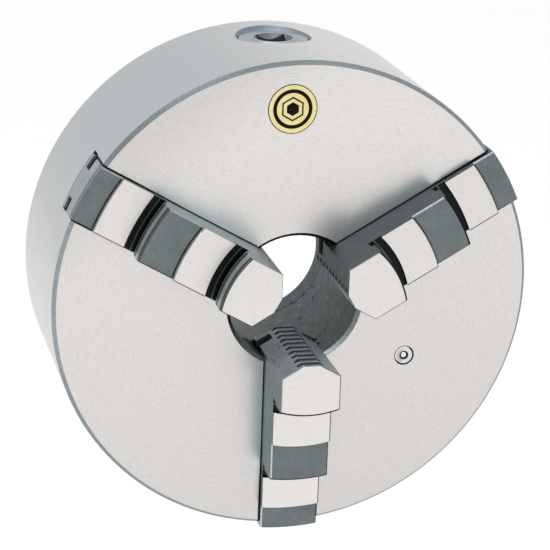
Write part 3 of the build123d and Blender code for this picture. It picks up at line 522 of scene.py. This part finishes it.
class JawShader(Shader):
    """One jaw's finish, in its own directions: along the jaw, across it and up from the rear."""

    def __init__(self, name, angle):
        super().__init__("jaw_steel_" + name)
        place, x, _, z = self.object_place()
        nx, ny, nz = self.object_normal()
        turn = radians(angle)
        self.out = self.along(x, z, turn)
        self.over = self.across(x, z, turn)
        self.facing_out = self.along(nx, nz, turn)
        self.facing_over = self.across(nx, nz, turn)
        self.facing_front = self.times(ny, -1.0)
        self.radius, self.height = self.turned_parts()
        self.grain = self.noise(place, 1300.0, detail=3.0, roughness=0.65)
        blotch = self.noise(place, 120.0, detail=4.0, roughness=0.6)
        self.mottle = self.shared(self.grain, 0.5, blotch)
        # Lands are ground in arcs that cross the jaw at a slant.
        slant = self.plus(self.radius, self.times(self.over, 0.35))
        self.streaks = self.noise(self.combine(slant, self.times(self.over, 0.03), 0.0), 2300.0, detail=2.0)
        self.front = self.spread(self.facing_front, 0.9, 0.97)
        self.upper = self.spread(self.facing_over, -0.3, 0.3)
        self.end = self.spread(self.facing_out, 0.8, 0.93)

    def sided(self, pair):
        """The first of a pair on the counter-clockwise side, the second on the other."""
        return self.mix(self.upper, pair[1], pair[0])

    def level(self, height):
        """The flat, facing forward, at one height."""
        return self.times(self.front, self.belt(self.height, height - 0.1, height + 0.1, 0.02))

    def flank_color(self, flanks):
        """Slanted flanks of the nose, with scratches along the jaw and a few slanted strokes."""
        scratch_place = self.combine(self.times(self.out, 0.05), self.height, self.over)
        scratch = self.noise(scratch_place, 1500.0, detail=3.0)
        # The flanks' tones carry painted light and shade, one for each side.
        flank = self.sided(flanks)
        flank = self.mix(self.spread(scratch, 0.56, 0.7), flank, FLANK_LIGHT)
        flank = self.mix(self.spread(scratch, 0.44, 0.3), flank, FLANK_DARK)
        slope = self.plus(self.height, self.times(self.over, 1.2))
        strokes = self.noise(self.combine(slope, self.times(self.over, 0.15), 0.0), 1100.0, detail=2.0)
        return self.mix(self.spread(strokes, 0.62, 0.72), flank, SPECK_TONE)

    def bare_color(self, sides, flanks, nose):
        """Sides with a few specks, the nose with its dark-grooved gripping ridges, and the ends."""
        specks = self.noise(self.object_place()[0], 1500.0, detail=1.0)
        # The sides' tones carry painted light and shade, one for each side.
        side = self.mix(self.spread(specks, 0.72, 0.78), self.sided(sides), SPECK_TONE)
        color = self.mix(nose, side, self.flank_color(flanks))
        ridge = self.mix(self.edge(self.out, JAW_NOSE + 0.03, 17.9), *RIDGE_TONES)
        gripping = self.times(
            self.edge(self.out, 18.75, 18.65),
            self.spread(self.math("ABSOLUTE", self.facing_over), 0.3, 0.25),
        )
        color = self.mix(gripping, color, ridge)
        return self.mix(self.end, color, self.between(self.grain, END_TONES))

    def add_riser_stripes(self, color):
        """Light and dark bands at constant heights above the lower land, with painted shadow at the riser's
        foot.
        """
        riser = self.times(self.end, self.edge(self.out, 95.0, 94.0))
        for root, top in JAW_ROOTS:
            rise = self.minus(self.height, top * MM)
            here = self.times(
                riser,
                self.belt(self.out, root - 4.5, root + 1.0, 0.2),
                self.belt(rise, -(GROOVE_DEPTH + 0.1), 13.0, 0.02),
            )
            # Painted shadow at the riser's foot, lighter above it.
            stripes = self.mix(self.edge(rise, 1.0, 1.3), *STRIPE_TONES)
            for low, high, soft, stripe_tone in RISER_STRIPES:
                stripes = self.mix(self.belt(rise, low, high, soft), stripes, stripe_tone)
            stripes = self.mix(self.edge(rise, 9.2, 9.6), stripes, TOP_STRIPE)
            color = self.mix(here, color, stripes)
        return color

    def add_lands(self, color, rough, shaded_side):
        """Bright ground lands with a dark line of painted shade along their shaded side."""
        land_color = self.between(self.streaks, LAND_TONES, 0.25, 0.75)
        # Painted shade: a dark line along the land's side away from the light.
        rim = self.edge(self.times(self.over, shaded_side), HALF_JAW - 0.5, HALF_JAW - 0.3)
        land_color = self.mix(rim, land_color, LAND_SHADE_LINE)
        for top in LAND_HEIGHTS:
            land = self.level(top)
            color = self.mix(land, color, land_color)
            rough = self.blend(land, rough, self.spread(self.streaks, 0.3, 0.7, 0.26, 0.32))
        return color, rough

    def add_ledges(self, color, rough):
        """Dull ledges, each with a bright short riser at its inner side and a dark line of painted shade in
        the crease at its foot.
        """
        ledge_color = self.between(self.mottle, LEDGE_TONES, 0.35, 0.65)
        for level, start in JAW_LEDGES:
            ledge = self.level(level)
            color = self.mix(ledge, color, ledge_color)
            rough = self.blend(ledge, rough, 0.6)
            inward = self.edge(self.math("ABSOLUTE", self.over), HALF_JAW - 0.02, HALF_JAW - 0.06)
            step = self.times(
                self.belt(self.radius, start - 0.9, start + 0.3, 0.1),
                self.belt(self.height, level + 0.05, level + 1.77, 0.02),
                inward,
            )
            color = self.mix(step, color, STEP_TONE)
            # Painted shade in the crease at the ledge's foot.
            foot = self.times(self.belt(self.radius, start - 0.2, start + 0.45, 0.08), ledge, inward)
            color = self.mix(foot, color, OIL_AND_SHADE)
        return color, rough

    def add_edges(self, color, edges, end_edges):
        """Broken edges with painted highlights on one side and painted shade on the other, and painted shade
        along the outer arcs and the outermost end.
        """
        slope = self.band(self.facing_front, 0.55, 0.88, 0.03)
        over_side = self.times(slope, self.spread(self.math("ABSOLUTE", self.facing_over), 0.45, 0.6))
        color = self.mix(over_side, color, self.sided(edges))
        over_end = self.times(slope, self.spread(self.facing_out, 0.45, 0.6))
        color = self.mix(over_end, color, end_edges[0])
        outermost = self.edge(self.out, OUTER_END_START, OUTER_END_START + 1.0)
        color = self.mix(self.times(over_end, outermost), color, end_edges[1])
        strip = self.times(self.belt(self.height, 74.8, 77.72, 0.1), outermost, self.end)
        color = self.mix(strip, color, end_edges[2])
        # Painted shade along the outer arcs of the lands and ledges.
        for outer, level in OUTER_ARCS:
            arc = self.times(
                self.belt(self.radius, outer - 0.75, outer + 0.3, 0.08),
                self.belt(self.height, level - 0.7, level + 0.1, 0.02),
            )
            color = self.mix(arc, color, end_edges[0])
        return color

    def add_groove_floors(self, color):
        """Painted shade in the undercut at the foot of each long riser, with a lighter line in it."""
        for root, top in JAW_ROOTS:
            floor = self.times(
                self.belt(self.height, top - GROOVE_DEPTH - 0.1, top - 0.05, 0.02),
                self.belt(self.radius, root - 2.0, root + GROOVE_WIDTH + 0.3, 0.1),
            )
            line = self.belt(self.radius, root + 0.5, root + 1.1, 0.15)
            color = self.mix(floor, color, self.mix(line, *GROOVE_SHADE_TONES))
        return color


def make_jaw_steel(name, angle, sides, edges, end_edges, flanks, shaded_side):
    """Hardened jaw: ground lands, dull ledges and sides, form-ground risers and a ridged nose, with painted
    light and shade on its sides, edges, flanks, risers and undercuts.
    """
    shader = JawShader(name, angle)
    nose = shader.spread(shader.facing_out, -0.6, -0.75)
    color = shader.bare_color(sides, flanks, nose)
    rough = shader.blend(nose, shader.spread(shader.grain, 0.3, 0.7, 0.38, 0.5), 0.62)
    color = shader.add_riser_stripes(color)
    color = shader.scaled(color, shader.spread(shader.mottle, 0.35, 0.65, 0.88, 1.12))
    color, rough = shader.add_lands(color, rough, shaded_side)
    color, rough = shader.add_ledges(color, rough)
    color = shader.add_edges(color, edges, end_edges)
    color = shader.add_groove_floors(color)
    relief = shader.shared(shader.grain, 0.5, shader.streaks)
    return shader.finish(color, rough, normal=shader.bump(relief, 0.04, FINE_RELIEF))


# ---------------------------------------------------------------- other pieces
COVER_TONES = (tone(146, 153, 156), tone(176, 183, 186))
PINION_TONES = (tone(128, 137, 141), tone(152, 160, 164))
PINION_FACE_TONES = (tone(152, 162, 166), tone(172, 181, 185))
PINION_STEP_HIGHLIGHT = tone(166, 175, 179)
PINION_GAP_SHADE = tone(96, 105, 109)
COUNTERSINK_TONES = (tone(100, 108, 111), tone(122, 130, 133))
SOCKET_SHADE_TONES = (tone(20, 22, 23), tone(92, 100, 103))
COUNTERSINK_RADIUS = 8.2
PINION_FACE = 98.0
OILER_TONES = (tone(206, 205, 203), tone(224, 222, 220))
OILER_SHADE = tone(150, 158, 162)
SEAM_SHADE_TONES = (tone(138, 146, 148), tone(18, 20, 21))
SEAM_RADIUS = 3.97
THROAT_SHADE = tone(38, 42, 43)
THROAT_DARK_RADIUS = 1.75
BRASS_TONES = (tone(224, 210, 146), tone(238, 226, 168))
BRASS_RIM = tone(30, 27, 18)
BADGE_RIM_START = 9.65
ENAMEL_TONES = (grey(0.003), grey(0.02))


def make_plain_steel(name, tones, rough_low, rough_high, strength=0.15):
    """A steel whose fine grain mottles both its tone and its gloss."""
    shader = Shader(name)
    place = shader.object_place()[0]
    grain = shader.noise(place, 900.0, detail=3.0, roughness=0.6)
    mottle = shader.shared(grain, 0.65, shader.noise(place, 36.0, detail=3.0))
    color = shader.between(mottle, tones, 0.35, 0.65)
    rough = shader.spread(grain, 0.3, 0.7, rough_low, rough_high)
    return shader.finish(color, rough, normal=shader.bump(grain, strength, COARSE_RELIEF))


def make_cover_steel():
    """Turned cover: fine rings about the axis on its flats, dark and rough in its bore."""
    shader = Shader("turned_steel_cover")
    place, x, _, z = shader.object_place()
    radius, height = shader.turned_parts()
    turning = shader.math("ARCTAN2", z, x)
    grain = shader.noise(place, 1500.0, detail=2.0, roughness=0.7)
    wound = shader.combine(radius, shader.times(turning, 0.0012), 0.0)
    mottle = shader.shared(grain, 0.35, shader.noise(wound, 1900.0, detail=3.0))
    in_bore = shader.times(
        shader.edge(radius, BORE_RADIUS + 1.1, BORE_RADIUS + 0.8),
        shader.edge(height, COVER_REAR, COVER_REAR + 0.4),
    )
    color = shader.mix(in_bore, shader.between(mottle, COVER_TONES), bore_steel(shader, grain))
    rough = shader.blend(in_bore, shader.spread(mottle, 0.3, 0.7, 0.3, 0.42), 0.55)
    return shader.finish(color, rough, normal=shader.bump(mottle, 0.14, COARSE_RELIEF))


def make_pinion_steel(name, angle):
    """Hardened pinion: a turned end face with a painted highlight on its step, painted shade in the gap
    round its rim, a darker countersink and painted shade in its socket.
    """
    shader = Shader("hardened_steel_" + name)
    place, x, _, z = shader.object_place()
    nx, _, nz = shader.object_normal()
    turn = radians(angle)
    out = shader.along(x, z, turn)
    up = shader.minus(shader.turned_parts()[1], PINION_HEIGHT * MM)
    reach = shader.length(shader.across(x, z, turn), up)
    facing_out = shader.along(nx, nz, turn)
    grain = shader.noise(place, 1300.0, detail=3.0, roughness=0.65)
    rings = shader.noise(shader.combine(reach, 0.0, 0.0), 1700.0, detail=2.0)
    mottle = shader.shared(grain, 0.5, rings)
    at_face = shader.edge(out, PINION_FACE - 0.1, PINION_FACE - 0.05)
    face = shader.times(shader.spread(facing_out, 0.9, 0.97), at_face)
    color = shader.mix(face, shader.between(mottle, PINION_TONES), shader.between(mottle, PINION_FACE_TONES))
    # Painted highlight on the step ring of the end face.
    step = shader.times(shader.belt(reach, 9.15, 9.8, 0.08), at_face)
    color = shader.mix(step, color, PINION_STEP_HIGHLIGHT)
    # Painted shade in the gap between the pinion's rim and its pocket.
    rim = shader.times(shader.edge(reach, 14.45, 14.6), shader.edge(out, 96.0, 96.5))
    color = shader.mix(rim, color, PINION_GAP_SHADE)
    within = shader.edge(reach, COUNTERSINK_RADIUS + 0.5, COUNTERSINK_RADIUS + 0.4)
    socket = shader.times(within, shader.edge(out, 79.0, 79.5), shader.spread(facing_out, 0.95, 0.9))
    # Painted shade in the socket, darker deeper in it and black at its floor.
    socket_wall = shader.mix(shader.edge(out, 93.0, 96.6), *SOCKET_SHADE_TONES)
    cone = shader.band(facing_out, 0.5, 0.85, 0.05)
    socket_color = shader.mix(cone, socket_wall, shader.between(grain, COUNTERSINK_TONES))
    color = shader.mix(socket, color, socket_color)
    floor = shader.times(within, shader.edge(out, 81.0, 80.5), shader.edge(out, 79.5, 79.9))
    color = shader.mix(floor, color, SOCKET_SHADE_TONES[0])
    rough = shader.spread(grain, 0.3, 0.7, 0.5, 0.6)
    return shader.finish(color, rough, normal=shader.bump(mottle, 0.1, COARSE_RELIEF))


def from_centre(shader, centre):
    """Distances right of and above a centre on the face, and straight from it."""
    _, x, _, z = shader.object_place()
    right = shader.minus(x, centre[0] * MM)
    above = shader.minus(z, centre[1] * MM)
    return right, above, shader.length(right, above)


def make_oiler_plate():
    """Oiler's pressed cup: a satin ring with painted shade in the seam round it, on its inner ring and in
    its throat.
    """
    shader = Shader("zinc_plate_oiler")
    right, above, reach = from_centre(shader, OILER_CENTRE)
    grain = shader.noise(shader.object_place()[0], 1800.0, detail=2.0)
    rings = shader.noise(shader.combine(reach, 0.0, 0.0), 3000.0, detail=2.0)
    mottle = shader.shared(grain, 0.5, rings)
    color = shader.between(mottle, OILER_TONES)
    # The seam's painted shade is dark and wide at the lower right and fades out at the upper left.
    away = shader.edge(shader.minus(right, above), -3.5, 0.5)
    seam_width = shader.spread(away, 0.0, 1.0, 0.0, 0.35 * MM)
    seam = shader.edge(shader.plus(reach, seam_width), SEAM_RADIUS - 0.12, SEAM_RADIUS)
    color = shader.mix(seam, color, shader.mix(away, *SEAM_SHADE_TONES))
    shaded = shader.times(shader.belt(reach, 1.9, 3.2, 0.3), shader.edge(right, -0.3, -1.2), 0.6)
    color = shader.mix(shaded, color, OILER_SHADE)
    # Painted shade in the throat.
    color = shader.mix(shader.edge(reach, THROAT_DARK_RADIUS + 0.4, THROAT_DARK_RADIUS), color, THROAT_SHADE)
    rough = shader.spread(grain, 0.3, 0.7, 0.28, 0.4)
    return shader.finish(color, rough, normal=shader.bump(mottle, 0.06, FINE_RELIEF))


def make_badge_brass():
    """Pale satin brass, faintly brushed one way, darkening at its rim."""
    shader = Shader("badge_brass")
    place, x, _, z = shader.object_place()
    reach = from_centre(shader, BADGE_CENTRE)[2]
    brushed = shader.noise(shader.combine(shader.times(x, 0.08), 0.0, z), 3000.0, detail=2.0)
    mottle = shader.shared(brushed, 0.6, shader.noise(place, 150.0, detail=3.0))
    color = shader.between(mottle, BRASS_TONES)
    rim = shader.edge(reach, BADGE_RIM_START, BADGE_RIM_START + 0.2)
    color = shader.mix(rim, color, BRASS_RIM)
    rough = shader.spread(mottle, 0.3, 0.7, 0.32, 0.42)
    return shader.finish(color, rough, normal=shader.bump(mottle, 0.05, FINE_RELIEF))


def make_enamel():
    """Black fired enamel with a little orange peel."""
    shader = Shader("black_enamel")
    place = shader.object_place()[0]
    peel = shader.noise(place, 700.0, detail=2.0)
    specks = shader.noise(place, 2600.0, detail=1.0)
    color = shader.between(specks, ENAMEL_TONES, 0.6, 0.75)
    rough = shader.spread(peel, 0.3, 0.7, 0.22, 0.36)
    normal = shader.bump(peel, 0.05, FINE_RELIEF)
    return shader.finish(color, rough, metallic=0.0, normal=normal, Specular_IOR_Level=0.08)


def wear(node_name, material):
    """Gives a CAD node its finish, in the material slots it already has."""
    mesh = NODES[node_name].data
    if not mesh.materials:
        mesh.materials.append(material)
    for index in range(len(mesh.materials)):
        mesh.materials[index] = material


# Tones of the painted highlights and painted shade on the jaws' edges and sides.
LIGHT_EDGE = tone(188, 195, 197)
SOFT_EDGE = tone(158, 166, 168)
MIDDLE_EDGE = tone(120, 128, 130)
DARK_EDGE = tone(34, 37, 38)
# Painted light and shade for each jaw, as it is turned to the light: its sides, its long edges,
# its cross edges (all, the outermost, and the strip below the outermost) and its nose flanks; then
# which side of its lands ends in a dark line of painted shade, 1 for the counter-clockwise one. In a pair of
# sides the counter-clockwise one comes first.
JAW_TONES_AND_PAINTED_LIGHT = {
    "jaw_1": (
        (tone(82, 89, 92), tone(104, 112, 115)),
        (MIDDLE_EDGE, DARK_EDGE),
        (DARK_EDGE, DARK_EDGE, DARK_EDGE),
        (tone(112, 122, 124), tone(64, 71, 73)),
        -1.0,
    ),
    "jaw_2": (
        (tone(112, 121, 124), tone(162, 171, 174)),
        (DARK_EDGE, SOFT_EDGE),
        (tone(84, 91, 94), SOFT_EDGE, tone(104, 112, 115)),
        (tone(122, 132, 134), tone(104, 112, 115)),
        1.0,
    ),
    "jaw_3": (
        (tone(110, 118, 121), tone(128, 138, 141)),
        (DARK_EDGE, LIGHT_EDGE),
        (DARK_EDGE, DARK_EDGE, DARK_EDGE),
        (tone(184, 192, 194), tone(190, 198, 200)),
        1.0,
    ),
}

bright = make_plain_steel("bright_steel", (grey(0.82), grey(0.9)), 0.08, 0.14, strength=0.03)
black = make_plain_steel("black_screws", (grey(0.03), grey(0.06)), 0.35, 0.5)
hardened = make_plain_steel("hardened_steel", (tone(128, 137, 141), tone(156, 164, 168)), 0.28, 0.4)
wear("body", make_body_steel())
wear("rear_cover", make_cover_steel())
wear("scroll_plate", hardened)
wear("cover_dowels", make_plain_steel("dowel_steel", (grey(0.6), grey(0.7)), 0.2, 0.3))
wear("oiler_ball", bright)
wear("oiler_spring", bright)
wear("oiler_cup", make_oiler_plate())
wear("cover_screws", black)
wear("pinion_retaining_screws", black)
wear("badge_plate", make_badge_brass())
for pinion, pinion_angle in PINION_ANGLES.items():
    wear(pinion, make_pinion_steel(pinion, pinion_angle))
for jaw, jaw_angle in JAW_ANGLES.items():
    wear(jaw, make_jaw_steel(jaw, jaw_angle, *JAW_TONES_AND_PAINTED_LIGHT[jaw]))


# ---------------------------------------------------------------- badge enamel
# Outlines of the enamel pieces: distance from the badge's centre and height above the face.
RING_PROFILE = ((6.5, 0.06), (6.55, 0.14), (7.3, 0.17), (8.05, 0.14), (8.1, 0.06))
FRAME_PROFILE = ((4.3, 0.06), (4.35, 0.14), (4.7, 0.16), (5.05, 0.14), (5.1, 0.06))
HEXAGON_PROFILE = ((0.0, 0.06), (0.0, 0.18), (2.4, 0.15), (2.8, 0.14), (2.9, 0.06))
RING_SIDES = 96
HEXAGON_SIDES = 6
HEXAGON_PHASE = pi / 6
WELD_DISTANCE = 0.0001


def swept_mesh(name, profile, sides, phase):
    """The profile taken round the badge's centre with that many sides, closed and welded."""
    vertices, faces = [], []
    for step in range(sides):
        turn = 2 * pi * step / sides + phase
        for radius, rise in profile:
            right = BADGE_CENTRE[0] + radius * cos(turn)
            above = BADGE_CENTRE[1] + radius * sin(turn)
            vertices.append((right * MM, -(BODY_HEIGHT + rise) * MM, above * MM))
    count = len(profile)
    for step in range(sides):
        here, there = step * count, (step + 1) % sides * count
        for row in range(count):
            above = (row + 1) % count
            faces.append((here + row, there + row, there + above, here + above))
    mesh = bpy.data.meshes.new(name)
    mesh.from_pydata(vertices, [], faces)
    mesh.validate()
    work = bmesh.new()
    work.from_mesh(mesh)
    bmesh.ops.remove_doubles(work, verts=work.verts, dist=WELD_DISTANCE * MM)
    bmesh.ops.recalc_face_normals(work, faces=work.faces)
    work.to_mesh(mesh)
    work.free()
    return mesh


def crowned_ring(name, profile, sides, phase=0.0):
    """A flat enamel ring or plug on the badge, which rides on the chuck's body."""
    mesh = swept_mesh(name, profile, sides, phase)
    piece = bpy.data.objects.new(name, mesh)
    scene.collection.objects.link(piece)
    mesh.materials.append(enamel)
    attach(piece, "chuck_body")


enamel = make_enamel()
# A plain ring near the rim, and a hexagonal frame with a hexagon inside it.
crowned_ring("badge_ring", RING_PROFILE, RING_SIDES)
crowned_ring("badge_hexagon_frame", FRAME_PROFILE, HEXAGON_SIDES, HEXAGON_PHASE)
crowned_ring("badge_hexagon", HEXAGON_PROFILE, HEXAGON_SIDES, HEXAGON_PHASE)


# ---------------------------------------------------------------- studio
# Metres and watts.
FLOOR_HEIGHT = -0.5
FLOOR_HALF = 6.0
PAPER_TONES = (grey(0.94), grey(0.97))
KEY_PLACE = Vector((-0.5, -0.8, 1.4))
KEY_AIM = Vector((0.0, -0.05, 0.0))
KEY_SIZE = 1.0
KEY_POWER = 12.0


def make_floor():
    """A plain pale sheet below the chuck."""
    shader = Shader("floor_paper")
    fibre = shader.noise(shader.object_place()[0], 160.0, detail=3.0)
    material = shader.finish(shader.between(fibre, PAPER_TONES), 0.85, metallic=0.0)
    signs = ((-1, -1), (1, -1), (1, 1), (-1, 1))
    vertices = [(x * FLOOR_HALF, y * FLOOR_HALF, FLOOR_HEIGHT) for x, y in signs]
    mesh = bpy.data.meshes.new("floor")
    mesh.from_pydata(vertices, [], [(0, 1, 2, 3)])
    floor = bpy.data.objects.new("floor", mesh)
    scene.collection.objects.link(floor)
    mesh.materials.append(material)


def make_key_light():
    """One wide soft light, above the camera and to its left."""
    data = bpy.data.lights.new("key", "AREA")
    data.shape = "RECTANGLE"
    data.size = data.size_y = KEY_SIZE
    data.energy = KEY_POWER
    light = bpy.data.objects.new("key", data)
    light.location = KEY_PLACE
    light.rotation_euler = (KEY_AIM - KEY_PLACE).to_track_quat("-Z", "Y").to_euler()
    scene.collection.objects.link(light)


def make_world():
    """Even white light from all round."""
    world = bpy.data.worlds.new("studio")
    scene.world = world
    world.use_nodes = True
    background = world.node_tree.nodes["Background"]
    background.inputs["Color"].default_value = (1.0, 1.0, 1.0, 1.0)
    background.inputs["Strength"].default_value = 1.0


make_floor()
make_world()
make_key_light()
scene.view_settings.view_transform = "Standard"
